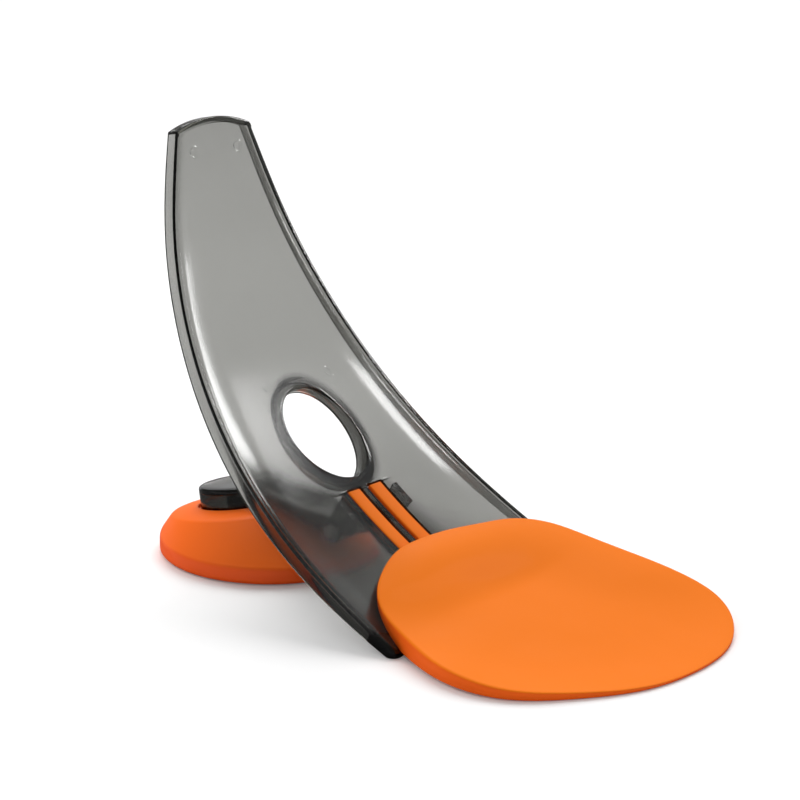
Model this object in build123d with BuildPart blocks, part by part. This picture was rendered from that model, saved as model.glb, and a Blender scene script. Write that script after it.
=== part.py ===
"""Golf putting practice ramp: a curved, see-through ramp with a ball hole, a soft front
skirt that the ball rolls up, and a weighted round base on a folding arm behind the ramp.

Millimetres. +X points to the player, +Z is up, and the ramp is symmetric about Y = 0.
The origin is under the middle of the whole object, on the floor.
"""
import os
from math import cos, radians, sin

from build123d import *

os.makedirs("parts", exist_ok=True)

# ---- driving dimensions -------------------------------------------------------------
TOE_X = 43.0                # front tip of the ramp
RAMP_HEIGHT = 198.0         # height of the ramp's top corners
TOE_HALF_WIDTH = 70.5       # half-width of the ramp on the floor
TOP_HALF_WIDTH = 23.5       # half-width of the ramp at its top
NARROWING = 1.93            # how late the ramp narrows along its length
TOP_ARCH = 4.6              # rise of the arched top edge
WALL = 2.4                  # moulded wall of the ramp
RIM_WIDTH = 3.0             # raised rim around the ramp's edge
RIM_STEP = 0.7
BANK_WIDTH = 15.5           # sloping sides that steer the ball to the middle
BANK_RISE = 2.4
FLANGE = 6.2                # depth of the stiffening edge behind the face
FLANGE_FULL_AT = 0.45       # below this fraction of the length the edge gets shallower
TOE_LENGTH = 15.0           # solid front corners of the ramp
TOE_WIDTH = 11.0
TOE_AT = 0.05               # fraction of the length where those corners end

HOLE_AT = 0.439             # ball hole, as a fraction of the ramp's length
HOLE_HALF_WIDTH = 20.0
HOLE_HALF_LENGTH = 25.0
HOLE_TILT = 5.0
COLLAR_WALL = 3.4
COLLAR_DEPTH = 6.4

CHANNEL_HALF_WIDTH = 12.0   # channel below the hole that takes the skirt's two prongs
CHANNEL_DEPTH = 4.0
CHANNEL_FLOOR = 2.0
CHANNEL_START, CHANNEL_END = 0.10, 0.325
RIB_HALF_WIDTH = 2.0

PIN_AT = 0.29               # hinge of the arm, as a fraction of the ramp's length
PIN_DEPTH = 16.5            # hinge axis behind the ramp's face
PIN_RADIUS = 2.0
EAR_INNER, EAR_OUTER = 17.5, 21.0
EAR_RADIUS = 5.0
CLIP_OFFSET = 0.7           # from the ear to the middle of the clip in its groove
CLIP_HALF_THICKNESS = 0.4
CLIP_GROOVE = 0.5
RUNNING_CLEARANCE = 0.05
GAP = 0.4                   # room between neighbours that move past each other

DISC_X = TOE_X - 135.0      # centre of the base disc
DISC_RADIUS = 53.0
DISC_BAND = 8.0             # height of its upright edge
HUB_X, HUB_Z = TOE_X - 153.0, 17.8
HUB_TILT = 10.0             # the disc's top leans towards the player
HUB_RIM_RADIUS = 34.6
HUB_CROWN = 2.5             # rise of the top from its rim to the puck
PUCK_RADIUS = 20.5
PUCK_HEIGHT = 9.0
CAP_THICKNESS = 2.5
PUCK_WALL = 2.0
WELL_DEPTH = 1.6
ARM_HALF_WIDTH = 14.0
ARM_THICKNESS = 4.0
SPIGOT_RADIUS = 8.0
SPIGOT_LENGTH = 9.0
BUSH_WALL = 1.5
HUB_SCREW_RADIUS = 2.5
HUB_SCREW_HEAD = 4.6
HUB_SCREW_REACH = 7.0
HUB_SCREW_HEAD_HEIGHT = 2.6
HUB_SCREW_SOCKET = 1.6
WASHER_THICKNESS = 1.2

PAD_THICKNESS = 1.5         # grip pad under the disc
PLATE_THICKNESS = 2.0
DISC_FOOT = 0.5             # the disc's shell stays clear of the floor
WEIGHT_OUTER = 42.0
WEIGHT_HOLE = 14.0
WEIGHT_THICKNESS = 3.5
PLATE_RADIUS = 48.0
PLATE_SCREW_RING = 45.2
PLATE_SCREW_RADIUS = 1.25
PLATE_SCREW_HEAD = 2.2
PLATE_SCREW_REACH = 3.0

SKIRT_FRONT = TOE_X + 102.0
SKIRT_HALF_WIDTH = 79.0
SKIRT_LIP = 1.4             # thickness of the skirt's front edge
PRONG_INNER, PRONG_OUTER = 3.4, 11.4
PRONG_THICKNESS = 3.2
BAR_AT = 0.17               # strip that holds the prongs from below
BAR_THICKNESS = 2.0
SKIRT_SCREW_RADIUS = 1.5
SKIRT_SCREW_HEAD = 2.6
SKIRT_SCREW_REACH = 8.0
SKIRT_SCREW_HEAD_HEIGHT = 1.6

# ---- the ramp's side curve and the planes across it ----------------------------------
ACROSS = Vector(0, 1, 0)
with BuildLine(Plane.XZ) as side_line:
    Spline(
        (TOE_X, 0),
        (TOE_X - 42, 21),
        (TOE_X - 81, 46),
        (TOE_X - 115, 77),
        (TOE_X - 143, 115),
        (TOE_X - 162, 157),
        (TOE_X - 172, RAMP_HEIGHT),
    )
side_curve = side_line.line.edge()


def face_normal(fraction, tilt=0.0):
    """Direction out of the ramp's face at a fraction of its length."""
    return ACROSS.cross(side_curve % fraction).rotate(Axis.Y, tilt)


def face_point(fraction, height=0.0):
    """Point on the ramp's middle line, at a height over its face."""
    return (side_curve @ fraction) + face_normal(fraction) * height


def across(fraction):
    """Plane square to the side curve: its X runs across the ramp, its Y out of the face."""
    outward = face_normal(fraction)
    return Plane(origin=side_curve @ fraction, x_dir=ACROSS, z_dir=ACROSS.cross(outward))


def facing(fraction, height=0.0, tilt=0.0):
    """Plane along the ramp's face: its X runs across the ramp, its Z out of the face."""
    return Plane(origin=face_point(fraction, height), x_dir=ACROSS, z_dir=face_normal(fraction, tilt))


def half_width(fraction):
    return TOE_HALF_WIDTH - (TOE_HALF_WIDTH - TOP_HALF_WIDTH) * fraction**NARROWING


def bank_rise(fraction):
    return BANK_RISE * (1 - 0.9 * fraction)


def flange_depth(fraction):
    """Depth of the edge behind the face: it runs out towards the floor."""
    return FLANGE * (1 - 0.72 * max(0.0, 1 - fraction / FLANGE_FULL_AT) ** 2)


def side_outline(start, end, low, high, steps=8):
    """Side view of a band that follows the ramp between two heights over its face."""
    stations = [start + (end - start) * i / steps for i in range(steps + 1)]
    over = [(face_point(s, high).X, face_point(s, high).Z) for s in stations]
    under = [(face_point(s, low).X, face_point(s, low).Z) for s in stations]
    with BuildSketch(Plane.XZ, mode=Mode.PRIVATE) as band:
        with BuildLine():
            Spline(over)
            Spline(under)
            Line(over[0], under[0])
            Line(over[-1], under[-1])
        make_face()
    return band.sketch


def top_arch(inset):
    """Outline of the ramp's arched end, pulled in by an inset."""
    half = TOP_HALF_WIDTH - inset
    with BuildSketch(facing(1.0), mode=Mode.PRIVATE) as arch:
        with BuildLine():
            ThreePointArc((-half, -inset), (0, TOP_ARCH - inset), (half, -inset))
            Polyline((half, -inset), (half, -8), (-half, -8), (-half, -inset))
        make_face()
    return arch.sketch


def hole_outline(grow=0.0):
    with BuildSketch(facing(HOLE_AT, tilt=HOLE_TILT), mode=Mode.PRIVATE) as oval:
        Ellipse(HOLE_HALF_WIDTH + grow, HOLE_HALF_LENGTH + grow)
    return oval.sketch


def finish(piece, name):
    piece.part.label = name
    export_step(piece.part, f"parts/{name}.step")


# ---- ramp ---------------------------------------------------------------------------
SECTIONS = 9
pin_centre = face_point(PIN_AT, -PIN_DEPTH)
hole_out = face_normal(HOLE_AT, HOLE_TILT)
channel_under = -(CHANNEL_DEPTH + CHANNEL_FLOOR)
with BuildPart() as ramp:
    for i in range(SECTIONS):
        fraction = i / (SECTIONS - 1)
        outer = half_width(fraction)
        inner = outer - RIM_WIDTH
        crease = inner - BANK_WIDTH
        rise = bank_rise(fraction)
        right = [
            (crease, 0),
            (inner, rise),
            (inner, rise + RIM_STEP),
            (outer, rise + RIM_STEP),
            (outer, -flange_depth(fraction)),
            (outer - WALL, -flange_depth(fraction)),
            (outer - WALL, rise - WALL),
            (crease, -WALL),
        ]
        left = [(-x, y) for x, y in reversed(right)]
        with BuildSketch(across(fraction)):
            with BuildLine():
                Polyline(*right, *left, close=True)
            make_face()
    loft()
    # arched top end
    out_of_top = face_normal(1.0)
    extrude(top_arch(0), amount=WALL, dir=-out_of_top)
    extrude(top_arch(0) - top_arch(RIM_WIDTH), amount=bank_rise(1.0) + RIM_STEP, dir=out_of_top)
    extrude(top_arch(0) - top_arch(WALL), amount=FLANGE, dir=-out_of_top)
    # collar behind the ball hole, then the hole with its rounded lip
    extrude(hole_outline(COLLAR_WALL), amount=COLLAR_DEPTH, dir=-hole_out)
    extrude(hole_outline(), amount=FLANGE, both=True, mode=Mode.SUBTRACT)
    extrude(hole_outline(), amount=2 * COLLAR_DEPTH, dir=-hole_out, mode=Mode.SUBTRACT)
    # channel for the skirt's prongs, with its middle rib
    extrude(
        side_outline(CHANNEL_START - 0.01, CHANNEL_END, channel_under, -WALL / 2),
        amount=CHANNEL_HALF_WIDTH + CHANNEL_FLOOR,
        both=True,
    )
    extrude(
        side_outline(CHANNEL_START, CHANNEL_END - 0.01, -CHANNEL_DEPTH, BANK_RISE),
        amount=CHANNEL_HALF_WIDTH,
        both=True,
        mode=Mode.SUBTRACT,
    )
    extrude(
        side_outline(CHANNEL_START, CHANNEL_END, channel_under, -0.5),
        amount=RIB_HALF_WIDTH,
        both=True,
    )
    # solid front corners
    for side in (-1, 1):
        with BuildSketch(across(0)):
            with Locations((side * (TOE_HALF_WIDTH - TOE_WIDTH / 2), BANK_RISE + RIM_STEP)):
                Rectangle(
                    TOE_WIDTH,
                    BANK_RISE + RIM_STEP + flange_depth(TOE_AT),
                    align=(Align.CENTER, Align.MAX),
                )
        extrude(amount=-TOE_LENGTH)
    # ears for the arm's hinge pin
    for side in (-1, 1):
        ear_plane = Plane((0, side * EAR_INNER, 0), x_dir=(1, 0, 0), z_dir=(0, side, 0))
        with BuildSketch(ear_plane):
            with Locations(ear_plane.to_local_coords(pin_centre)):
                Circle(EAR_RADIUS)
            root = [face_point(PIN_AT + step, -WALL / 2) for step in (-0.045, 0.045)]
            with BuildLine():
                Line(*[ear_plane.to_local_coords(Vector(p.X, side * EAR_INNER, p.Z)) for p in root])
            make_hull()
        extrude(amount=EAR_OUTER - EAR_INNER)
    with BuildSketch(Plane.XZ):
        with Locations((pin_centre.X, pin_centre.Z)):
            Circle(PIN_RADIUS)
    extrude(amount=2 * EAR_OUTER, both=True, mode=Mode.SUBTRACT)
    # holes for the screws that hold the skirt
    with Locations(facing(BAR_AT, -CHANNEL_DEPTH)):
        with GridLocations(PRONG_INNER + PRONG_OUTER, 0, 2, 1):
            Hole(SKIRT_SCREW_RADIUS)
    # the whole ramp stands on the floor
    split(bisect_by=Plane.XY, keep=Keep.TOP)
finish(ramp, "ramp")

# ---- skirt and what holds it ---------------------------------------------------------
SKIRT_REAR = TOE_X - 44.0
with BuildPart() as skirt_raw:
    with BuildSketch(Plane.XZ):
        with BuildLine():
            Spline(
                (SKIRT_REAR, 26.0),
                (TOE_X - 20, 17.0),
                (TOE_X, 10.5),
                (TOE_X + 36, 5.6),
                (SKIRT_FRONT, SKIRT_LIP),
                tangents=[(0.87, -0.49), (0.999, -0.05)],
            )
            Polyline((SKIRT_FRONT, SKIRT_LIP), (SKIRT_FRONT, 0), (TOE_X - 2, 0), (SKIRT_REAR, 21.4))
            Line((SKIRT_REAR, 21.4), (SKIRT_REAR, 26.0))
        make_face()
    extrude(amount=SKIRT_HALF_WIDTH + 1, both=True)
    with BuildSketch(Plane.XY):
        with BuildLine() as half_edge:
            Spline(
                (SKIRT_REAR, 0),
                (SKIRT_REAR + 5, 32),
                (TOE_X - 24, 58),
                (TOE_X + 8, 74),
                (TOE_X + 40, SKIRT_HALF_WIDTH),
                (TOE_X + 72, 66),
                (TOE_X + 93, 38),
                (SKIRT_FRONT, 0),
                tangents=[(0, 1), (0, -1)],
            )
            mirror(about=Plane.XZ)
        make_face()
    extrude(amount=40, mode=Mode.INTERSECT)
    # two prongs that lie in the ramp's channel
    prong_side = side_outline(0.11, 0.31, -CHANNEL_DEPTH, PRONG_THICKNESS - CHANNEL_DEPTH)
    extrude(prong_side, amount=PRONG_OUTER, both=True)
    prong_root = side_outline(0.11, 0.16, -CHANNEL_DEPTH, PRONG_THICKNESS)
    extrude(prong_root, amount=PRONG_OUTER, both=True)
    extrude(
        side_outline(CHANNEL_START - 0.01, 0.32, -CHANNEL_DEPTH - 1, 0),
        amount=PRONG_INNER,
        both=True,
        mode=Mode.SUBTRACT,
    )
    add(ramp.part, mode=Mode.SUBTRACT)
    bar_plane = facing(BAR_AT, channel_under)
    with Locations(bar_plane):
        with GridLocations(PRONG_INNER + PRONG_OUTER, 0, 2, 1):
            Cylinder(SKIRT_SCREW_RADIUS, SKIRT_SCREW_REACH, mode=Mode.SUBTRACT)
with BuildPart() as skirt:
    add(skirt_raw.part.solids().sort_by(SortBy.VOLUME)[-1])
finish(skirt, "skirt")

with BuildPart() as skirt_bar:
    with BuildSketch(bar_plane):
        SlotOverall(2 * PRONG_OUTER + 3, 7)
        with GridLocations(PRONG_INNER + PRONG_OUTER, 0, 2, 1):
            Circle(SKIRT_SCREW_RADIUS, mode=Mode.SUBTRACT)
    extrude(amount=-BAR_THICKNESS)
finish(skirt_bar, "skirt_bar")

with BuildPart() as skirt_screws:
    with Locations(bar_plane.offset(-BAR_THICKNESS)):
        with GridLocations(PRONG_INNER + PRONG_OUTER, 0, 2, 1):
            Cylinder(
                SKIRT_SCREW_RADIUS,
                BAR_THICKNESS + SKIRT_SCREW_REACH / 2,
                align=(Align.CENTER, Align.CENTER, Align.MIN),
            )
            Cylinder(SKIRT_SCREW_HEAD, SKIRT_SCREW_HEAD_HEIGHT, align=(Align.CENTER, Align.CENTER, Align.MAX))
    with Locations(bar_plane.offset(-BAR_THICKNESS - SKIRT_SCREW_HEAD_HEIGHT)):
        with GridLocations(PRONG_INNER + PRONG_OUTER, 0, 2, 1):
            Box(3, 0.6, SKIRT_SCREW_HEAD_HEIGHT, mode=Mode.SUBTRACT)
            Box(0.6, 3, SKIRT_SCREW_HEAD_HEIGHT, mode=Mode.SUBTRACT)
finish(skirt_screws, "skirt_screws")

# ---- hinge pin and its clips ---------------------------------------------------------
PIN_HALF_LENGTH = EAR_OUTER + 2.6
with BuildPart() as hinge_pin:
    with BuildSketch(Plane.XZ):
        with Locations((pin_centre.X, pin_centre.Z)):
            Circle(PIN_RADIUS)
    extrude(amount=PIN_HALF_LENGTH, both=True)
    chamfer(hinge_pin.edges().group_by(Axis.Y)[0] + hinge_pin.edges().group_by(Axis.Y)[-1], 0.4)
    for side in (-1, 1):
        with BuildSketch(Plane.XZ.offset(-side * (EAR_OUTER + CLIP_OFFSET))):
            with Locations((pin_centre.X, pin_centre.Z)):
                Circle(PIN_RADIUS)
                Circle(PIN_RADIUS - CLIP_GROOVE, mode=Mode.SUBTRACT)
        extrude(amount=CLIP_HALF_THICKNESS, both=True, mode=Mode.SUBTRACT)
finish(hinge_pin, "hinge_pin")

with BuildPart() as pin_clips:
    for side in (-1, 1):
        with BuildSketch(Plane.XZ.offset(-side * (EAR_OUTER + CLIP_OFFSET))):
            with Locations((pin_centre.X, pin_centre.Z)):
                Circle(PIN_RADIUS + 2)
                Circle(PIN_RADIUS - CLIP_GROOVE, mode=Mode.SUBTRACT)
                Rectangle(1.4, PIN_RADIUS + 4, align=(Align.CENTER, Align.MAX), mode=Mode.SUBTRACT)
        extrude(amount=CLIP_HALF_THICKNESS, both=True)
finish(pin_clips, "pin_clips")

# ---- arm, its bushes and the puck that sits in the disc -------------------------------
LEAN = radians(HUB_TILT)
hub = Plane((HUB_X, 0, HUB_Z), x_dir=(cos(LEAN), 0, sin(LEAN)), z_dir=(-sin(LEAN), 0, cos(LEAN)))
PUCK_BOTTOM = HUB_CROWN - WELL_DEPTH
PUCK_TOP = HUB_CROWN + PUCK_HEIGHT
CAP_SEAT = PUCK_TOP - CAP_THICKNESS
SPIGOT_END = PUCK_BOTTOM - SPIGOT_LENGTH
EYE_RADIUS = 4.5
BUSH_RADIUS = PIN_RADIUS + RUNNING_CLEARANCE
BUSH_OUTER = BUSH_RADIUS + 1.0
arm_end = hub.from_local_coords(Vector(PUCK_RADIUS - 4, 0, CAP_SEAT - ARM_THICKNESS / 2 + 0.5))
with BuildPart() as arm:
    with BuildSketch(Plane.XZ):
        with Locations((pin_centre.X, pin_centre.Z)):
            Circle(EYE_RADIUS)
        with Locations((arm_end.X, arm_end.Z)):
            Circle(ARM_THICKNESS / 2)
        make_hull()
    extrude(amount=ARM_HALF_WIDTH, both=True)
    with BuildSketch(hub.offset(PUCK_BOTTOM)):
        Circle(PUCK_RADIUS)
    extrude(amount=CAP_SEAT - PUCK_BOTTOM)
    with BuildSketch(hub.offset(PUCK_BOTTOM)):
        Circle(SPIGOT_RADIUS)
    extrude(amount=-SPIGOT_LENGTH)
    with BuildSketch(hub.offset(SPIGOT_END)):
        Circle(HUB_SCREW_RADIUS)
    extrude(amount=HUB_SCREW_REACH, mode=Mode.SUBTRACT)
    with BuildSketch(Plane.XZ):
        with Locations((pin_centre.X, pin_centre.Z)):
            Circle(BUSH_OUTER)
    extrude(amount=EAR_INNER, both=True, mode=Mode.SUBTRACT)
    # the puck is a cup over its spigot
    with BuildSketch(hub.offset(PUCK_BOTTOM + PUCK_WALL)):
        Circle(PUCK_RADIUS - PUCK_WALL)
        Circle(SPIGOT_RADIUS, mode=Mode.SUBTRACT)
    extrude(amount=CAP_SEAT - PUCK_BOTTOM - PUCK_WALL, mode=Mode.SUBTRACT)
    # the cap fills the space over the puck, so the bar ends below it
    with BuildSketch(hub.offset(CAP_SEAT)):
        Circle(PUCK_RADIUS + 2 * RUNNING_CLEARANCE)
    extrude(amount=CAP_THICKNESS, mode=Mode.SUBTRACT)
finish(arm, "arm")

with BuildPart() as puck_cap:
    with BuildSketch(hub.offset(CAP_SEAT)):
        Circle(PUCK_RADIUS)
    extrude(amount=CAP_THICKNESS)
    fillet(puck_cap.edges().sort_by(Axis(hub.origin, hub.z_dir))[-1], 1.6)
finish(puck_cap, "puck_cap")

with BuildPart() as arm_bushes:
    for side in (-1, 1):
        with BuildSketch(Plane.XZ.offset(-side * (ARM_HALF_WIDTH - 8))):
            with Locations((pin_centre.X, pin_centre.Z)):
                Circle(BUSH_OUTER)
                Circle(BUSH_RADIUS, mode=Mode.SUBTRACT)
        extrude(amount=-side * 8)
        with BuildSketch(Plane.XZ.offset(-side * ARM_HALF_WIDTH)):
            with Locations((pin_centre.X, pin_centre.Z)):
                Circle(EYE_RADIUS)
                Circle(BUSH_RADIUS, mode=Mode.SUBTRACT)
        extrude(amount=-side * (EAR_INNER - ARM_HALF_WIDTH - GAP))
finish(arm_bushes, "arm_bushes")

with BuildPart() as hub_washer:
    with BuildSketch(hub.offset(SPIGOT_END)):
        Circle(SPIGOT_RADIUS + 3)
        Circle(HUB_SCREW_RADIUS, mode=Mode.SUBTRACT)
    extrude(amount=-WASHER_THICKNESS)
finish(hub_washer, "hub_washer")

with BuildPart() as hub_screw:
    with BuildSketch(hub.offset(SPIGOT_END - WASHER_THICKNESS)):
        Circle(HUB_SCREW_RADIUS)
    extrude(amount=WASHER_THICKNESS + HUB_SCREW_REACH)
    with BuildSketch(hub.offset(SPIGOT_END - WASHER_THICKNESS)):
        Circle(HUB_SCREW_HEAD)
    extrude(amount=-HUB_SCREW_HEAD_HEIGHT)
    with BuildSketch(hub.offset(SPIGOT_END - WASHER_THICKNESS - HUB_SCREW_HEAD_HEIGHT)):
        RegularPolygon(1.7, 6)
    extrude(amount=HUB_SCREW_SOCKET, mode=Mode.SUBTRACT)
finish(hub_screw, "hub_screw")

# ---- base disc -----------------------------------------------------------------------
disc = Plane((DISC_X, 0, 0))
PLATE_TOP = PAD_THICKNESS + PLATE_THICKNESS
WEIGHT_TOP = PLATE_TOP + WEIGHT_THICKNESS
with BuildPart() as base_housing:
    with BuildSketch(disc.offset(DISC_FOOT)):
        Circle(DISC_RADIUS)
    extrude(amount=DISC_BAND - DISC_FOOT)
    with BuildSketch(disc.offset(DISC_BAND)):
        Circle(DISC_RADIUS)
    with BuildSketch(hub):
        Circle(HUB_RIM_RADIUS)
    loft()
    with BuildSketch(hub):
        Circle(HUB_RIM_RADIUS)
    with BuildSketch(hub.offset(HUB_CROWN)):
        Circle(PUCK_RADIUS + 2.5)
    loft()
    # well for the puck and seat for the hub bush
    with BuildSketch(hub.offset(PUCK_BOTTOM - GAP)):
        Circle(PUCK_RADIUS + 3 * GAP)
    extrude(amount=CAP_SEAT, mode=Mode.SUBTRACT)
    with BuildSketch(hub.offset(SPIGOT_END - 8)):
        Circle(SPIGOT_RADIUS + BUSH_WALL)
    extrude(amount=SPIGOT_LENGTH + 8, mode=Mode.SUBTRACT)
    with BuildSketch(hub.offset(SPIGOT_END + GAP)):
        Circle(SPIGOT_RADIUS + 4)
    extrude(amount=-12, mode=Mode.SUBTRACT)
    # cavity for the weight and the plate under it
    with BuildSketch(disc):
        Circle(WEIGHT_OUTER + GAP)
    extrude(amount=WEIGHT_TOP + GAP, mode=Mode.SUBTRACT)
    with BuildSketch(disc):
        Circle(PLATE_RADIUS + GAP / 2)
    extrude(amount=PLATE_TOP, mode=Mode.SUBTRACT)
    with BuildSketch(disc.offset(PLATE_TOP)):
        with PolarLocations(PLATE_SCREW_RING, 3, start_angle=60):
            Circle(PLATE_SCREW_RADIUS)
    extrude(amount=PLATE_SCREW_REACH, mode=Mode.SUBTRACT)
finish(base_housing, "base_housing")

with BuildPart() as hub_bush:
    with BuildSketch(hub.offset(SPIGOT_END + GAP)):
        Circle(SPIGOT_RADIUS + BUSH_WALL)
        Circle(SPIGOT_RADIUS + RUNNING_CLEARANCE, mode=Mode.SUBTRACT)
    extrude(amount=SPIGOT_LENGTH - 2 * GAP)
finish(hub_bush, "hub_bush")

with BuildPart() as base_weight:
    with BuildSketch(disc.offset(PLATE_TOP)):
        Circle(WEIGHT_OUTER)
        with Locations((HUB_X - DISC_X + 2, 0)):
            Circle(WEIGHT_HOLE, mode=Mode.SUBTRACT)
    extrude(amount=WEIGHT_THICKNESS)
finish(base_weight, "base_weight")

with BuildPart() as base_plate:
    with BuildSketch(disc.offset(PAD_THICKNESS)):
        Circle(PLATE_RADIUS)
        with PolarLocations(PLATE_SCREW_RING, 3, start_angle=60):
            Circle(PLATE_SCREW_RADIUS, mode=Mode.SUBTRACT)
    extrude(amount=PLATE_THICKNESS)
    with BuildSketch(disc.offset(PAD_THICKNESS)):
        with PolarLocations(PLATE_SCREW_RING, 3, start_angle=60):
            Circle(PLATE_SCREW_HEAD)
    extrude(amount=PLATE_THICKNESS / 2, mode=Mode.SUBTRACT)
finish(base_plate, "base_plate")

with BuildPart() as plate_screws:
    with BuildSketch(disc.offset(PAD_THICKNESS + PLATE_THICKNESS / 2)):
        with PolarLocations(PLATE_SCREW_RING, 3, start_angle=60):
            Circle(PLATE_SCREW_RADIUS)
    extrude(amount=PLATE_THICKNESS / 2 + PLATE_SCREW_REACH)
    with BuildSketch(disc.offset(PAD_THICKNESS + PLATE_THICKNESS / 2)):
        with PolarLocations(PLATE_SCREW_RING, 3, start_angle=60):
            Circle(PLATE_SCREW_HEAD)
    extrude(amount=0.1 - PLATE_THICKNESS / 2)
finish(plate_screws, "plate_screws")

with BuildPart() as grip_pad:
    with BuildSketch(disc):
        Circle(PLATE_RADIUS)
    extrude(amount=PAD_THICKNESS)
    with BuildSketch(disc):
        Circle(PLATE_RADIUS - 10)
        Circle(PLATE_RADIUS - 12, mode=Mode.SUBTRACT)
        Circle(PLATE_RADIUS - 24)
        Circle(PLATE_RADIUS - 26, mode=Mode.SUBTRACT)
    extrude(amount=PAD_THICKNESS / 2, mode=Mode.SUBTRACT)
finish(grip_pad, "grip_pad")
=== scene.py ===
# %% [markdown]
# # A putting practice ramp, dressed for its portrait
# The real object is a curved, see-through ramp for putting practice. A ball rolls up a
# soft orange skirt and over the smoked plastic face, and drops into a hole if it was hit
# at the right speed. Behind the ramp a heavy orange disc on a folding arm holds it up.
#
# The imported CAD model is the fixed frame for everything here. It could be shaded as it
# is, but its edges are knife sharp and its skirt is a plain wedge, so the pieces that
# are seen most are made again below, in the same places and at the same sizes.

import math

import bmesh
import bpy
import numpy as np
from mathutils import Matrix, Vector


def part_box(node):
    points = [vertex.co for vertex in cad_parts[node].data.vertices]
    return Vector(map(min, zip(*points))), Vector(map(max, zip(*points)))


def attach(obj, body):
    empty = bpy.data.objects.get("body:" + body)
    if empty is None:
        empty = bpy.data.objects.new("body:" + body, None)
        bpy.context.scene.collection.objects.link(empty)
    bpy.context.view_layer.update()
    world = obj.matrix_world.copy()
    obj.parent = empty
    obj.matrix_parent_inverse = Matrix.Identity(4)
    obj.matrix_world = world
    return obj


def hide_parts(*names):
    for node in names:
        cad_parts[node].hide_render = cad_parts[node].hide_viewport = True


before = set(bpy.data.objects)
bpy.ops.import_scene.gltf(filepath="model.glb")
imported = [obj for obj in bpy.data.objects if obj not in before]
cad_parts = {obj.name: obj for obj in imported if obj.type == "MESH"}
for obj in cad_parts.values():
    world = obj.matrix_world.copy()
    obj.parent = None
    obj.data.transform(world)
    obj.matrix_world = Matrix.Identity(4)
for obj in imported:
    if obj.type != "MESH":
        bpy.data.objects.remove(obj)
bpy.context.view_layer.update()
MM = 0.001

# %% [markdown]
# ## Camera
# A long lens from a metre away keeps the ramp's sides almost parallel, as in a shop
# portrait. A camera could be aimed with a Track To constraint, but its three axes are
# written out here, because the horizon leans by a little under one degree.

# %% Camera
AZIMUTH, ELEVATION, ROLL = (math.radians(a) for a in (39.48, 15.33, 0.888))
STAND = Vector((0.6012, -0.7470, 0.3530))
FOCAL_LENGTH, SENSOR = 101.39, 36
back = Vector((
    math.sin(AZIMUTH) * math.cos(ELEVATION),
    -math.cos(AZIMUTH) * math.cos(ELEVATION),
    math.sin(ELEVATION),
))
level = Vector((math.cos(AZIMUTH), math.sin(AZIMUTH), 0))
rising = back.cross(level)
right = level * math.cos(ROLL) + rising * math.sin(ROLL)
up = rising * math.cos(ROLL) - level * math.sin(ROLL)

lens = bpy.data.cameras.new("portrait_lens")
lens.lens, lens.sensor_width = FOCAL_LENGTH, SENSOR
camera = bpy.data.objects.new("portrait_camera", lens)
turned_camera = Matrix((right, up, back)).transposed().to_4x4()
camera.matrix_world = Matrix.Translation(STAND) @ turned_camera
bpy.context.scene.collection.objects.link(camera)
bpy.context.scene.camera = camera
print("camera", round(STAND.length, 3), "m from the point under the object's middle")

# %% [markdown]
# ## Sums of sockets
# A shader is easier to read as a sum than as a pile of Math nodes. This small class
# wraps a socket, and each operator adds the node that does the sum. Only numbers go
# through it: a Math node would turn a colour grey, so colours go through Mix nodes.


# %% Sockets that add and multiply
class Flow:
    def __init__(self, tree, socket):
        self.tree, self.socket = tree, socket

    def sum(self, operation, first, second):
        node = self.tree.nodes.new("ShaderNodeMath")
        node.operation = operation
        for place, part in zip(node.inputs, (first, second)):
            if isinstance(part, Flow):
                self.tree.links.new(part.socket, place)
            else:
                place.default_value = part
        return Flow(self.tree, node.outputs[0])

    def __add__(self, other):
        return self.sum("ADD", self, other)

    def __mul__(self, other):
        return self.sum("MULTIPLY", self, other)

    def __rsub__(self, other):
        return self.sum("SUBTRACT", other, self)

    def __sub__(self, other):
        return self.sum("SUBTRACT", self, other)

    def __pow__(self, other):
        return self.sum("POWER", self, other)

    __radd__, __rmul__ = __add__, __mul__


# %% [markdown]
# A finish is one Principled shader. Numbers that hold all over a piece are set on the
# shader itself, and only what changes over the surface arrives through nodes.


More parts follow.
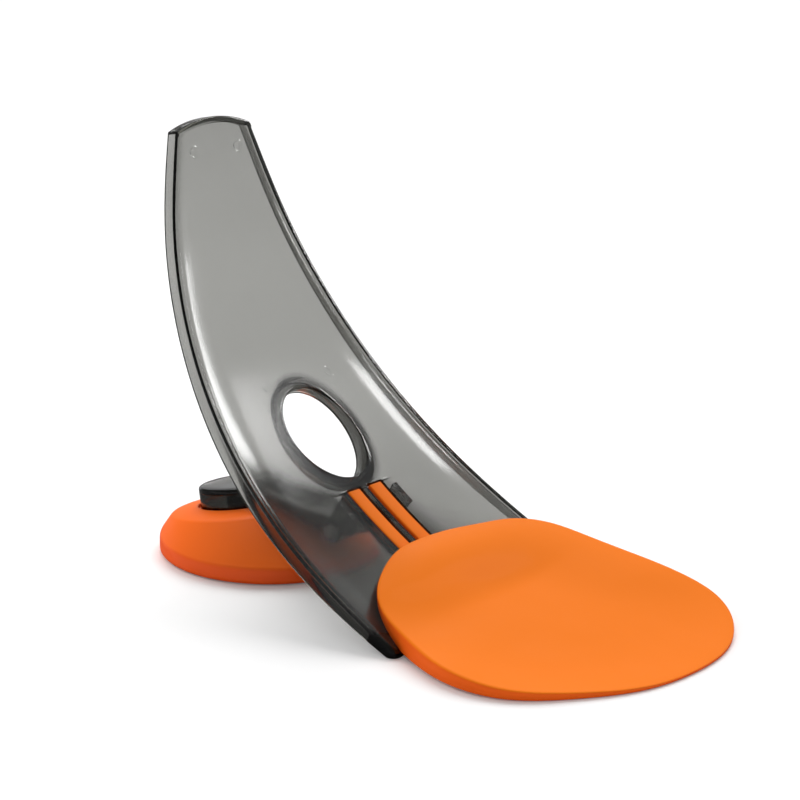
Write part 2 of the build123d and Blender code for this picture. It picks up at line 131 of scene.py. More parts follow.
# %% One finish
class Finish:
    def __init__(self, name, colour, **constants):
        self.material = bpy.data.materials.new(name)
        self.material.use_nodes = True
        self.tree = self.material.node_tree
        self.shader = self.tree.nodes["Principled BSDF"]
        self.colour = (*colour, 1)
        self.shader.inputs["Base Color"].default_value = self.colour
        for socket, value in constants.items():
            self.shader.inputs[socket.replace("_", " ")].default_value = value

    def node(self, kind, settings=None, output=0, **inputs):
        """One node: its settings first, then the values or links of its sockets."""
        node = self.tree.nodes.new(kind)
        for name, value in (settings or {}).items():
            setattr(node, name, value)
        for name, value in inputs.items():
            socket = node.inputs[name.replace("_", " ")]
            if isinstance(value, Flow):
                self.tree.links.new(value.socket, socket)
            else:
                socket.default_value = value
        return Flow(self.tree, node.outputs[output])

    def place(self):
        return self.node("ShaderNodeTexCoord", output=3)

    def noise(self, scale, detail=2.0, stretch=(1, 1, 1)):
        mapping = self.node("ShaderNodeMapping", Vector=self.place(), Scale=stretch)
        return self.node("ShaderNodeTexNoise", Vector=mapping, Scale=scale, Detail=detail)

    def give(self, socket, flow):
        self.tree.links.new(flow.socket, self.shader.inputs[socket])

    def tint(self, factor, other):
        """Mixes the base colour towards another by a factor from 0 to 1."""
        mix = self.tree.nodes.new("ShaderNodeMix")
        mix.data_type = "RGBA"
        source = mix.inputs[6]
        below = self.shader.inputs["Base Color"]
        if below.is_linked:
            self.tree.links.new(below.links[0].from_socket, source)
        else:
            source.default_value = self.colour
        mix.inputs[7].default_value = (*other, 1)
        self.tree.links.new(factor.socket, mix.inputs[0])
        self.tree.links.new(mix.outputs[2], below)

    def bump(self, height, distance, strength=1.0):
        normal = self.node("ShaderNodeBump", Height=height, Distance=distance, Strength=strength)
        self.give("Normal", normal)


# %% [markdown]
# ## Smoked plastic
# The ramp is clear polycarbonate with a little black dye all through it. A grey surface
# colour would darken thick and thin places alike. Here the surface is clear and the
# volume takes the light away, so a wall seen through its face is grey and the same wall
# seen along its length is nearly black, as it is on the real moulding.


# %% Smoked plastic
SMOKE = (0.36, 0.36, 0.33, 1)
RAMP_DYE, PUCK_DYE, ARM_DYE = 630.0, 450.0, 1000.0
WALL = 2.4


def smoked(name, density, roughness):
    finish = Finish(name, (1.0, 1.0, 1.0), Transmission_Weight=1.0, IOR=1.56)
    drift = finish.noise(14.0, detail=3.0)
    finish.give("Roughness", drift * 0.03 + roughness)
    finish.bump(finish.noise(22.0, stretch=(1, 1, 0.35)), distance=0.0002, strength=0.15)
    dye = finish.tree.nodes.new("ShaderNodeVolumeAbsorption")
    dye.inputs["Color"].default_value = SMOKE
    dye.inputs["Density"].default_value = density
    output = finish.tree.nodes["Material Output"]
    finish.tree.links.new(dye.outputs[0], output.inputs["Volume"])
    return finish


ramp_finish = smoked("smoked_ramp", density=RAMP_DYE, roughness=0.12)
puck_finish = smoked("smoked_puck", density=PUCK_DYE, roughness=0.05)
arm_finish = smoked("smoked_arm", density=ARM_DYE, roughness=0.08)
kept_light = math.exp(-RAMP_DYE * (1 - SMOKE[0]) * WALL * MM)
print("smoked plastic keeps", round(kept_light, 2), "of the red light through one wall")

# %% [markdown]
# ## Rubber and moulded plastic
# Both orange finishes are satin, with a very fine even grain and a faint cloudiness. The
# disc is a little smoother and glossier. Both carry painted shade: they are tinted a
# deeper orange where they face sideways, as the sides fall into shade.


# %% Orange rubber, orange plastic and the small parts
def moulded(name, colour, roughness, grain, cloud=0.06, deep=None, **constants):
    finish = Finish(name, colour, **constants)
    clouds = finish.noise(38.0, detail=3.0)
    finish.tint(clouds * cloud, tuple(0.55 * c for c in colour))
    # Painted shade: the more a face turns sideways, the more it is tinted towards deep, the shaded orange.
    if deep:
        normal = finish.node("ShaderNodeNewGeometry", output=1)
        facing = finish.node("ShaderNodeSeparateXYZ", output=2, Vector=normal)
        top_without_shade = finish.node("ShaderNodeMapRange", Value=facing, From_Min=0.25, From_Max=0.9)
        finish.tint(1 - top_without_shade, deep)
    finish.give("Roughness", clouds * 0.12 + (roughness - 0.06))
    finish.bump(finish.noise(2400.0, detail=1.0), distance=grain, strength=0.35)
    return finish


def brushed(name, colour, roughness):
    finish = Finish(name, colour, Metallic=1.0)
    streaks = finish.noise(900.0, stretch=(1, 0.06, 1))
    finish.give("Roughness", streaks * 0.2 + (roughness - 0.1))
    finish.tint(streaks * 0.25, tuple(0.6 * c for c in colour))
    finish.bump(streaks, distance=0.00002, strength=0.4)
    return finish


# The second colour of each pair is painted shade for faces that turn sideways.
SKIRT_ORANGE, SKIRT_SIDE_SHADE = (0.95, 0.205, 0.004), (0.95, 0.13, 0.006)
DISC_ORANGE, DISC_SIDE_SHADE = (0.95, 0.15, 0.006), (0.92, 0.1, 0.004)
skirt_finish = moulded(
    "soft_orange_rubber", SKIRT_ORANGE, 0.5, grain=0.00005, cloud=0.05, deep=SKIRT_SIDE_SHADE,
    Specular_IOR_Level=0.12,
)
disc_finish = moulded(
    "orange_moulding", DISC_ORANGE, 0.4, grain=0.00006, cloud=0.05, deep=DISC_SIDE_SHADE,
    Specular_IOR_Level=0.3,
)
SMALL = {
    "white_acetal": moulded("acetal", (0.78, 0.78, 0.74), 0.4, grain=0.00002),
    "black_plastic": moulded("black_moulding", (0.018, 0.018, 0.02), 0.42, grain=0.00005),
    "grip_rubber": moulded("grip_rubber_skin", (0.02, 0.02, 0.022), 0.7, grain=0.00012),
    "weight_iron": moulded("cast_iron_skin", (0.09, 0.09, 0.095), 0.6, grain=0.0003, Metallic=0.8),
    "steel": brushed("zinc_plate", (0.6, 0.6, 0.62), 0.32),
}
print("finishes made:", len(bpy.data.materials))

# %% [markdown]
# The small parts keep their CAD meshes. Each one's finish is found from the slot that
# the record gives it, so nothing is listed twice.

# %% Finishes for the CAD parts
for name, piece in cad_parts.items():
    slot = piece.data.materials[0].name.split(".")[0]
    chosen = SMALL.get(slot)
    if chosen:
        for place in piece.material_slots:
            place.material = chosen.material
        print("  ", name, "->", chosen.material.name)

# %% [markdown]
# ## Shapes from rows of points
# Every moulding below is a skin: rows of points, laid one after another. Blender's grid
# operator makes the faces, and the script only moves its points. `rounded` softens the
# corners of an outline by a short curve at each, always with the same number of
# points, so that neighbouring rows fit together whatever their size.


# %% Rounded corners and smooth lines
def rounded(corners, steps=3):
    """Points of an outline whose corners are given as (point, radius)."""
    points = [Vector(point) for point, radius in corners]
    line = []
    for i, (point, radius) in enumerate(zip(points, (r for p, r in corners))):
        if radius == 0:
            line.append(point)
            continue
        before, after = points[i - 1] - point, points[(i + 1) % len(points)] - point
        start = point + before * min(0.48, radius / before.length)
        end = point + after * min(0.48, radius / after.length)
        for step in range(steps):
            t = step / (steps - 1)
            line.append(start * (1 - t) ** 2 + point * 2 * t * (1 - t) + end * t**2)
    return line


def smooth_line(points, count, closed=False):
    """Evenly spaced points on the smooth curve through a few points."""
    knots = np.array(points, float)
    wrap = 4 if closed else 0
    if closed:
        knots = np.vstack([knots[-wrap:], knots, knots[: wrap + 1]])
    at = np.concatenate([[0], np.cumsum(np.linalg.norm(np.diff(knots, axis=0), axis=1))])
    gap = np.diff(at)
    slope = np.diff(knots, axis=0) / gap[:, None]
    size = len(knots)
    system, wanted = np.eye(size), np.zeros_like(knots)
    for i in range(1, size - 1):
        system[i, i - 1 : i + 2] = gap[i - 1], 2 * (gap[i - 1] + gap[i]), gap[i]
        wanted[i] = 6 * (slope[i] - slope[i - 1])
    bend = np.linalg.solve(system, wanted)
    fine = np.linspace(at[wrap], at[size - 1 - wrap], 1500)
    k = np.clip(np.searchsorted(at, fine) - 1, 0, size - 2)
    a, b = (at[k + 1] - fine)[:, None], (fine - at[k])[:, None]
    h = gap[k][:, None]
    curve = (bend[k] * a**3 + bend[k + 1] * b**3) / (6 * h)
    curve += (knots[k] / h - bend[k] * h / 6) * a + (knots[k + 1] / h - bend[k + 1] * h / 6) * b
    along = np.concatenate([[0], np.cumsum(np.linalg.norm(np.diff(curve, axis=0), axis=1))])
    even = np.linspace(0, along[-1], count + 1)[: count + (0 if closed else 1)]
    return np.column_stack([np.interp(even, along, curve[:, i]) for i in range(knots.shape[1])]), along[-1]


def blend(low, high, value):
    """0 below low, 1 above high and a smooth step between."""
    t = min(1.0, max(0.0, (value - low) / (high - low)))
    return t * t * (3 - 2 * t)


# %% [markdown]
# `skin` puts the rows on a grid. Points that fall together are merged, which closes a
# seam or a pole. `keep` then turns millimetres into metres, hands the mesh to an object
# and marks the edges that stay sharp.


# %% Skins and pieces
def skin(bm, rows):
    """Adds a grid to bm with its points at these rows; returns the new vertices, row by row."""
    made = bmesh.ops.create_grid(bm, x_segments=len(rows[0]) - 1, y_segments=len(rows) - 1, size=1)["verts"]
    for vertex, point in zip(made, (point for row in rows for point in row)):
        vertex.co = point
    return made


def close(bm):
    """Merges the points that fall together and turns every face outward."""
    bmesh.ops.remove_doubles(bm, verts=bm.verts, dist=0.01)
    bmesh.ops.recalc_face_normals(bm, faces=bm.faces)


def absorb(bm, other):
    """Moves everything in another mesh into bm."""
    stored = bpy.data.meshes.new("stored")
    other.to_mesh(stored)
    other.free()
    bm.from_mesh(stored)
    bpy.data.meshes.remove(stored)


def keep(bm, name, finish, body, replaced, sharp):
    """Makes an object of bm, a piece that rides a body in place of the CAD nodes named."""
    bmesh.ops.scale(bm, vec=(MM, MM, MM), verts=bm.verts)
    mesh = bpy.data.meshes.new(name)
    bm.to_mesh(mesh)
    bm.free()
    mesh.shade_smooth()
    mesh.set_sharp_from_angle(angle=math.radians(sharp))
    mesh.materials.append(finish.material)
    piece = bpy.data.objects.new(name, mesh)
    bpy.context.scene.collection.objects.link(piece)
    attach(piece, body)
    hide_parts(*replaced)
    print(f"  {name}: {len(mesh.vertices)} vertices, {len(mesh.polygons)} faces")


# %% [markdown]
# ## The ramp's line
# Seen from the side the ramp is one sweeping curve, nearly flat at the toe and almost
# upright at the top. Every point on it is given by three numbers: how far along that
# curve, how far across, and how high over the face.

# %% The side curve
TOE_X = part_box("skirt")[1].x / MM - 102.0
side, LENGTH = smooth_line(
    [
        (TOE_X, 0),
        (TOE_X - 42, 21),
        (TOE_X - 81, 46),
        (TOE_X - 115, 77),
        (TOE_X - 143, 115),
        (TOE_X - 162, 157),
        (TOE_X - 172, 198),
    ],
    600,
)
steps = np.linspace(0, 1, len(side))
lie = np.gradient(side, axis=0)
lie /= np.linalg.norm(lie, axis=1)[:, None]
print("side curve is", round(LENGTH, 1), "mm long")


def on_ramp(fraction, across, height=0.0):
    """Point at a fraction of the ramp's length, a distance across and a height over its face."""
    inside = min(1.0, max(0.0, fraction))
    x, z, run, climb = (np.interp(inside, steps, column) for column in (*side.T, *lie.T))
    beyond = (fraction - inside) * LENGTH
    return Vector((x + beyond * run + height * climb, across, z + beyond * climb - height * run))


# %% [markdown]
# ## The ramp's face
# The real ramp is one injection moulding of nearly even wall. The face is dished: its
# sides bank up to a raised rim, and a stiffening flange turns down behind that rim. Two
# sheets are made over the same grid, the face and its back, and joined round the edge.
# A Solidify modifier would be shorter, but it folds over itself at the narrow rim.

# %% Widths and heights over the face
TOE_HALF, TOP_HALF, NARROWING = 70.5, 23.5, 1.93
RIM, RIM_STEP, BANK, BANK_RISE = 3.0, 0.7, 15.5, 2.4
FLANGE, FLANGE_FULL_AT = 6.2, 0.45
TOP_ARCH = 4.6
CHANNEL_START, CHANNEL_END, CHANNEL_DEPTH, CHANNEL_HALF, RIB_HALF = 0.10, 0.325, 4.0, 12.0, 2.0
HOLE_AT, HOLE_HALF, HOLE_LENGTH, HOLE_TILT, COLLAR = 0.439, 20.0, 25.0, math.radians(5), 6.4
FLOOR_ACROSS = [0, 1.2, 1.7, 2.1, 2.4, 7.5, 11.2, 11.6, 11.9, 12.3, 17.5, 22.0, 26.5]
HOLE_COLUMN = len(FLOOR_ACROSS) - 1
HOLE_ROWS = (0.334, 0.546)


def half_width(fraction):
    return TOE_HALF - (TOE_HALF - TOP_HALF) * min(fraction, 1.0) ** NARROWING


def bank_rise(fraction):
    return BANK_RISE * (1 - 0.9 * min(fraction, 1.0))


def flange_depth(fraction):
    return FLANGE * (1 - 0.72 * max(0.0, 1 - fraction / FLANGE_FULL_AT) ** 2)


def crease_at(fraction):
    return half_width(fraction) - RIM - BANK


def in_channel(fraction):
    return 1 - min(1.0, max(0.0, (fraction - CHANNEL_END + 0.002) / 0.002))


def channel_depth(across, fraction):
    wall = 1 - min(1.0, max(0.0, (across - CHANNEL_HALF + 0.5) / 0.5))
    rib = min(1.0, max(0.0, (across - RIB_HALF + 0.3) / 0.5))
    return in_channel(fraction) * wall * (CHANNEL_DEPTH * rib + 0.5 * (1 - rib))


def half_section(fraction, front):
    """One side of the face or of its back: (across, height) from the middle to the flange."""
    outer = half_width(fraction)
    inner, crease = outer - RIM, crease_at(fraction)
    rise = bank_rise(fraction)
    toe = 1 - blend(0.045, 0.06, fraction)
    deep, thick = flange_depth(fraction), WALL + 8.6 * toe
    shrink = min(1.0, crease / crease_at(CHANNEL_END))
    floor = []
    for across in FLOOR_ACROSS:
        over = across * shrink
        if front:
            floor.append((over, -channel_depth(across, fraction)))
        else:
            shell = 1 - blend(CHANNEL_HALF + 1.0, CHANNEL_HALF + 2.6, across + 1.9)
            spread = 1 + 0.14 * in_channel(fraction) * (across > 2.5)
            floor.append((over * spread, -WALL - 3.6 * in_channel(fraction) * shell))
    last = floor[-1][0]
    floor += [(last + (crease - last) * part, floor[-1][1]) for part in (0.33, 0.66)]
    reach = (inner if front else outer - thick) - crease
    for part in (0, 0.13, 0.27, 0.41, 0.55, 0.69, 0.82, 0.92):
        floor.append((crease + reach * part, rise * (reach * part / BANK) ** 2 - WALL * (not front)))
    if front:
        corners = [
            ((inner, rise), 0.5),
            ((inner + 0.1, rise + RIM_STEP), 0.7),
            ((outer, rise + RIM_STEP), 1.1 + toe),
            ((outer, -deep), 0.5),
            ((outer - thick / 2, -deep), 0),
        ]
    else:
        under = rise * (reach / BANK) ** 2 - WALL
        corners = [((outer - thick - gap, under), 0) for gap in (0.8, 0.5, 0.25)]
        corners += [
            ((outer - thick, under), 0.2),
            ((outer - thick, -deep * 0.3), 0.3),
            ((outer - thick, -deep), 0.5),
            ((outer - thick / 2, -deep), 0),
        ]
    return floor + [tuple(point) for point in rounded(corners)]


for front in (True, False):
    print("points across half the", "face" if front else "back", len(half_section(0.5, front)))

# %% [markdown]
# The top of the ramp is arched, and the rim runs round it too. So the last rows are
# pushed along the curve by the arch, and lifted to the height of the rim.

# %% Rows along the ramp
TOE_ROUND, TOP_ROUND = 3.6, 1.0
TOP_EDGE = [3.5, 3.0, 2.9, 2.7, 2.3, 2.2, 1.2, 0.7, 0.35, 0.1, 0.0]
rows_at = [0, 0.0012, 0.003, 0.0055, 0.009, 0.0135, 0.024, 0.036, 0.045, 0.05, 0.055, 0.06, 0.07, 0.085, 0.10]
rows_at += list(np.linspace(0.12, 0.315, 18)) + [0.3215, 0.323, 0.3237, 0.3243, 0.325, 0.3262]
hole_first = len(rows_at)
rows_at += list(np.linspace(*HOLE_ROWS, 25))
hole_last = len(rows_at) - 1
rows_at += list(np.linspace(0.555, 0.96, 44)) + [0.972]
rows_at += [1 - inset / LENGTH for inset in TOP_EDGE]


def ramp_row(fraction, front):
    """One row of points right across the face or its back."""
    half = half_section(fraction, front)
    rise = bank_rise(fraction) + RIM_STEP
    inset = (1 - fraction) * LENGTH
    row = []
    for across, height in [(-a, h) for a, h in reversed(half[1:])] + half:
        arch = TOP_ARCH * (1 - (across / half_width(fraction)) ** 2) * blend(0.9, 1.0, fraction)
        if front and inset < 2.95 and height > -0.5:
            soft = 1 - math.sqrt(max(0.0, 1 - (1 - min(inset / TOP_ROUND, 1.0)) ** 2))
            height = max(height, rise - 0.3 * (inset > 2.8)) - TOP_ROUND * soft
        if not front and inset < WALL - 0.1:
            height = -FLANGE
        tip = max(0.0, 1 - fraction * LENGTH / TOE_ROUND)
        nose = TOE_ROUND * (1 - math.sqrt(1 - tip**2))
        if height > -0.5:
            height -= nose * (abs(across) > crease_at(fraction))
        across -= math.copysign(nose * blend(0.9, 1.0, abs(across) / half_width(fraction)), across)
        row.append(on_ramp(fraction + arch / LENGTH, across, height))
    return row


print("ramp rows:", len(rows_at), "points in a row:", len(ramp_row(0.5, True)))

# %% [markdown]
# ## The ball hole
# A boolean could punch the hole, but it would leave a ragged ring of thin faces in a
# material that shows every flaw. A modeller's way is to delete a patch of the grid and
# draw its border in, ring by ring, until it lies on the oval. The same border then goes
# over a small rounded lip and down into the collar behind the face.


# %% Cut the hole and form its collar
COLLAR_GROW = 4.0
hole_centre = on_ramp(HOLE_AT, 0)
hole_out = on_ramp(HOLE_AT, 0, 1) - hole_centre
hole_out.rotate(Matrix.Rotation(HOLE_TILT, 3, "Y"))
hole_along = hole_out.cross(Vector((0, 1, 0)))
near_hole = np.linspace(0.3, 0.6, 400)
face_steps = [(on_ramp(f, 0) - hole_centre).dot(hole_along) for f in near_hole]


def oval(angle, grow):
    """A point of the oval as (fraction along the ramp, distance across)."""
    along = (HOLE_LENGTH + grow) * math.sin(angle)
    return np.interp(along, face_steps, near_hole), (HOLE_HALF + grow) * math.cos(angle)


def collar_point(angle, grow, depth):
    """A point of the collar's wall at a depth behind the face."""
    along = hole_along * (HOLE_LENGTH + grow) * math.sin(angle)
    across = Vector((0, 1, 0)) * (HOLE_HALF + grow) * math.cos(angle)
    return hole_centre + (along + across) - hole_out * depth


def ramp_sheet(bm, front):
    """The face or its back, with the hole and its collar."""
    rows = [ramp_row(fraction, front) for fraction in rows_at]
    made = skin(bm, rows)
    width = len(rows[0])
    middle = width // 2
    where = {v: (rows_at[i // width], v.co.y) for i, v in enumerate(made)}
    inside = {
        v for i, v in enumerate(made)
        if hole_first < i // width < hole_last and abs(i % width - middle) < HOLE_COLUMN
    }
    patch = [f for f in bm.faces if any(v in inside for v in f.verts)]
    border = {e for f in patch for e in f.edges if not any(v in inside for v in e.verts)}
    bmesh.ops.delete(bm, geom=patch, context="FACES")
    ring = {v: where[v] for e in border for v in e.verts}
    base, edges = dict(ring), list(border)
    angles = {}
    for vertex, (s, y) in ring.items():
        angles[vertex] = math.atan2((s - HOLE_AT) * LENGTH / HOLE_LENGTH, y / HOLE_HALF)

    def draw_in(target):
        """Extrudes the border and moves each new point to its target."""
        nonlocal edges, angles, base
        by_place = {tuple(round(c, 5) for c in v.co): v for e in edges for v in e.verts}
        got = bmesh.ops.extrude_edge_only(bm, edges=edges)["geom"]
        new_angles, new_base = {}, {}
        for vertex in (g for g in got if isinstance(g, bmesh.types.BMVert)):
            old = by_place[tuple(round(c, 5) for c in vertex.co)]
            new_angles[vertex], new_base[vertex] = angles[old], base[old]
            vertex.co = target(angles[old], base[old])
        angles, base = new_angles, new_base
        new_edges = [g for g in got if isinstance(g, bmesh.types.BMEdge)]
        edges = [e for e in new_edges if all(v in new_base for v in e.verts)]

    depth, grow = (0, 0.0) if front else (-WALL, COLLAR_GROW)

    def ring_at(part, extra):
        def target(angle, start):
            s, y = oval(angle, extra)
            return on_ramp(start[0] + (s - start[0]) * part, start[1] + (y - start[1]) * part, depth)
        return target

    for part in (0.3, 0.6, 0.85):
        draw_in(ring_at(part, grow + (1.2 if front else 2.4)))
    lip = [(1.2, 0.0), (0.55, 0.15), (0.15, 0.55)] if front else [(2.4, 0.0), (1.2, 0.35), (0.35, 1.2)]
    for extra, drop in lip:
        draw_in(lambda angle, start, e=extra, d=drop: on_ramp(*oval(angle, grow + e), depth - d))
    for down in ((1.8, 4.0, COLLAR - 0.5) if front else (4.6, COLLAR - 0.5)):
        draw_in(lambda angle, start, d=down: collar_point(angle, grow, d))
    draw_in(lambda angle, start: collar_point(angle, grow + (0.5 if front else -0.5), COLLAR))
    return edges


ramp_mesh = bmesh.new()
collar_front = ramp_sheet(ramp_mesh, True)
front_edges = {e for e in ramp_mesh.edges if e.is_boundary} - set(collar_front)
print("edge of the face:", len(front_edges), "and of its collar:", len(collar_front))

# %% [markdown]
# The back is made apart and copied in, so that each sheet's free edges are easy to
# find. Then the two rims are bridged, and so are the two ends of the collar.

# %% Join the face to its back
back_mesh = bmesh.new()
ramp_sheet(back_mesh, False)
bmesh.ops.reverse_faces(back_mesh, faces=back_mesh.faces)
absorb(ramp_mesh, back_mesh)


def loops_of(edges):
    """Splits free edges into the loops that they form, longest first."""
    left, loops = set(edges), []
    while left:
        trail = [left.pop()]
        for edge in trail:
            for vertex in edge.verts:
                for other in vertex.link_edges:
                    if other in left:
                        left.remove(other)
                        trail.append(other)
        loops.append(trail)
    return sorted(loops, key=len, reverse=True)


free = [e for e in ramp_mesh.edges if e.is_boundary]
loops = loops_of(free)
print("free loops:", [len(loop) for loop in loops])
for pair in (loops[:2], loops[2:4]):
    bmesh.ops.bridge_loops(ramp_mesh, edges=pair[0] + pair[1])

# %% [markdown]
# The ramp stands on the floor, so everything under it is cut away and the cut is closed.

# %% Stand the ramp on the floor
FLOOR_GAP = 0.02
bmesh.ops.bisect_plane(
    ramp_mesh, geom=ramp_mesh.verts[:] + ramp_mesh.edges[:] + ramp_mesh.faces[:],
    plane_co=(0, 0, FLOOR_GAP), plane_no=(0, 0, -1), clear_outer=True, dist=0.001,
)
rim_edges = [e for e in ramp_mesh.edges if e.is_boundary]
bmesh.ops.holes_fill(ramp_mesh, edges=rim_edges, sides=0)
bmesh.ops.recalc_face_normals(ramp_mesh, faces=ramp_mesh.faces)
print("open edges left:", sum(not e.is_manifold for e in ramp_mesh.edges))

# %% [markdown]
# Behind the face two plates hold the ends of the hinge pin. Each is its own closed solid
# whose root sinks into the back of the face.


# %% Ears for the hinge pin
PIN_AT, PIN_DEPTH = 0.29, 16.5
EAR_INNER, EAR_OUTER, EAR_RADIUS, EAR_ROOT = 17.6, 20.6, 4.6, -2.2


def ear(bm, side):
    """A plate behind the face that holds one end of the hinge pin."""
    outline = [on_ramp(PIN_AT + turn / LENGTH, 0, EAR_ROOT) for turn in (6, 2, -2, -6)]
    for angle in np.linspace(math.pi, 0, 9):
        turn = EAR_RADIUS * math.cos(angle)
        outline.append(on_ramp(PIN_AT + turn / LENGTH, 0, -PIN_DEPTH - EAR_RADIUS * math.sin(angle)))
    heart = [on_ramp(PIN_AT, 0, -PIN_DEPTH)] * len(outline)
    rows = []
    for across, points in (
        (EAR_INNER, heart), (EAR_INNER, outline), (EAR_OUTER, outline), (EAR_OUTER, heart)
    ):
        row = [Vector((p.x, side * across, p.z)) for p in points]
        rows.append(row + row[:1])
    skin(bm, rows)


ear_mesh = bmesh.new()
ear(ear_mesh, -1)
ear(ear_mesh, 1)
close(ear_mesh)
absorb(ramp_mesh, ear_mesh)
print("open edges with the ears:", sum(not e.is_manifold for e in ramp_mesh.edges))

# %% [markdown]
# Ejector pins leave faint round marks on the face. They are too shallow to model, so
# the bump draws them. The thick ring round the hole is tinted darker as painted shade,
# where the collar behind it darkens the view through the plastic.

# %% Marks in the ramp's finish, and painted shade round the hole
PIN_MARKS = ((-127, -14.5, 187.6), (-127, 14.5, 187.6), (-79, -17, 85), (-79, 25.6, 85))
MARK_RADIUS, MARK_WIDTH = 2.7 * MM, 0.45 * MM
spot = ramp_finish.tree.nodes.new("ShaderNodeSeparateXYZ")
ramp_finish.tree.links.new(ramp_finish.place().socket, spot.inputs[0])
x, y, z = (Flow(ramp_finish.tree, socket) for socket in spot.outputs)


def band(distance, radius, reach):
    """1 on a ring at a radius, falling to 0 at a reach either side of it."""
    off = distance - radius
    off = off.sum("ABSOLUTE", off, 0.0)
    return 1 - off.sum("MINIMUM", off * (1 / reach), 1.0)


def length_of(*parts):
    """Length of the vector with these parts."""
    total = parts[0] ** 2.0
    for part in parts[1:]:
        total = total + part**2.0
    return total**0.5


marks = 0.0
for centre in PIN_MARKS:
    away = length_of(x - centre[0] * MM, y - centre[1] * MM, z - centre[2] * MM)
    marks = band(away, MARK_RADIUS, MARK_WIDTH) + marks
waves = ramp_finish.noise(22.0, stretch=(1, 1, 0.35))
ramp_finish.bump(waves * 0.15 + marks * 0.6, distance=0.0003, strength=0.6)
# Painted shade: a ring just outside the hole is tinted dark grey, where the collar darkens the view through
# the face.
along_hole = (x - hole_centre.x * MM) * hole_along.x + (z - hole_centre.z * MM) * hole_along.z
ring = length_of(y * (1 / (HOLE_HALF * MM)), along_hole * (1 / (HOLE_LENGTH * MM)))
ramp_finish.tint(band(ring, 1.2, 0.17) * 0.8, (0.2, 0.2, 0.2))
keep(ramp_mesh, "smoked_ramp", ramp_finish, "ramp_body", ["ramp"], sharp=50)

# %% [markdown]
# ## The skirt
# The skirt is a thick sheet of soft rubber. It lies on the floor in front, climbs over
# the toe of the ramp, and one side rides up on the ramp's rim while the other is tucked
# inside it. Cloth simulation suits thin fabric better than a rubber moulding this
# thick, so its edge is drawn as one smooth closed line, with a height at each point,
# and the top swells gently between.

# %% The skirt's edge and its top
SKIRT_EDGE = [
    # x, y, height of the top edge
    (-1, 0, 26.0),
    (0, -16, 25.4),
    (7, -36, 22.0),
    (15, -49, 18.4),
    (27, -59, 14.0),
    (43, -66, 10.5),
    (60, -73.5, 8.8),
    (80, -78.6, 7.2),
    (101, -75, 5.0),
    (124, -54, 3.0),
    (139.5, -28, 1.8),
    (144.8, 2, 1.5),
    (142.5, 28, 1.7),
    (131, 54, 3.0),
    (109, 74, 6.6),
    (85, 78.8, 10.5),
    (58, 78.8, 13.7),
    (34, 77.5, 16.8),
    (16, 72.5, 20.0),
    (7, 60, 22.6),
    (3, 40, 24.4),
    (0, 20, 25.6),
]
SKIRT_ROUND = 144
skirt_edge, around = smooth_line([(x + TOE_X - 43, y, z) for x, y, z in SKIRT_EDGE], SKIRT_ROUND, closed=True)
SKIRT_MIDDLE = np.array([TOE_X + 14, 4.0])
print("skirt's edge is", round(around), "mm round")


def middle_height(x):
    """Height of the skirt's top along its middle, from the ramp's face to the front lip."""
    stations = [TOE_X - 44, TOE_X - 20, TOE_X, TOE_X + 36, TOE_X + 70, TOE_X + 102]
    return np.interp(x, stations, [26.5, 17.6, 11.6, 6.6, 3.6, 1.5])


def skirt_top(x, edge_height, part):
    """The top's height at a part of the way from the middle to the edge."""
    held = blend(0.25, 1.0, part)
    return middle_height(x) * (1 - held) + edge_height * held


def skirt_thickness(x):
    stations = [TOE_X - 44, TOE_X - 20, TOE_X, TOE_X + 36, TOE_X + 102]
    return np.interp(x, stations, [3.0, 4.2, 8.6, 6.2, 1.4])


# %% [markdown]
# Rows run from the middle of the top out to the edge, round it, down the side and back
# under to the middle, so the skirt is one closed skin.


# %% Skin the skirt
def skirt_row(part):
    """A ring of the top at a part of the way from the middle to the edge."""
    row = []
    for x, y, z in skirt_edge:
        px, py = SKIRT_MIDDLE + (np.array([x, y]) - SKIRT_MIDDLE) * part
        row.append((px, py, skirt_top(px, z, part)))
    return row


def skirt_rows():
    top_parts = [0, 0.08, 0.16, 0.25, 0.34, 0.43, 0.52, 0.61, 0.7, 0.78, 0.85, 0.91, 0.95, 0.975]
    rows = [skirt_row(part) for part in top_parts]
    edge = []
    for pull, drop in ((0.991, 0.02), (0.997, 0.07), (1.0, 0.16), (1.0, 0.5), (0.999, 0.9), (0.996, 1.0)):
        row = []
        for (px, py, top), (edge_x, _, _) in zip(skirt_row(pull), skirt_edge):
            row.append((px, py, max(FLOOR_GAP, top - skirt_thickness(edge_x) * drop)))
        edge.append(row)
    under = []
    for part in reversed([0, 0.1, 0.2, 0.3, 0.4, 0.5, 0.6, 0.7, 0.8, 0.9, 0.96]):
        under.append([(px, py, max(FLOOR_GAP, top - skirt_thickness(px))) for px, py, top in skirt_row(part)])
    return [row + row[:1] for row in rows + edge + under]


skirt_mesh = bmesh.new()
skin(skirt_mesh, skirt_rows())
close(skirt_mesh)


# %% [markdown]
# Two prongs run from the skirt up the channel in the ramp, and are screwed down there.


# %% The prongs
PRONG_INNER, PRONG_OUTER = 3.4, 11.4


def prong(bm, inner, outer):
    rows = []
    for fraction in np.linspace(0.135, 0.3215, 24):
        top = 3.6 - 3.8 * blend(0.145, 0.185, fraction)
        corners = [((inner, top), 0.7), ((outer, top), 0.7), ((outer, -3.9), 0.3), ((inner, -3.9), 0.3)]
        row = [on_ramp(fraction, p.x, p.y) for p in rounded(corners)]
        rows.append(row + row[:1])
    for end in (0, -1):
        middle = sum((p for p in rows[end][:-1]), Vector()) / (len(rows[end]) - 1)
        cap = [middle for p in rows[end]]
        rows = [cap] + rows if end == 0 else rows + [cap]
    skin(bm, rows)


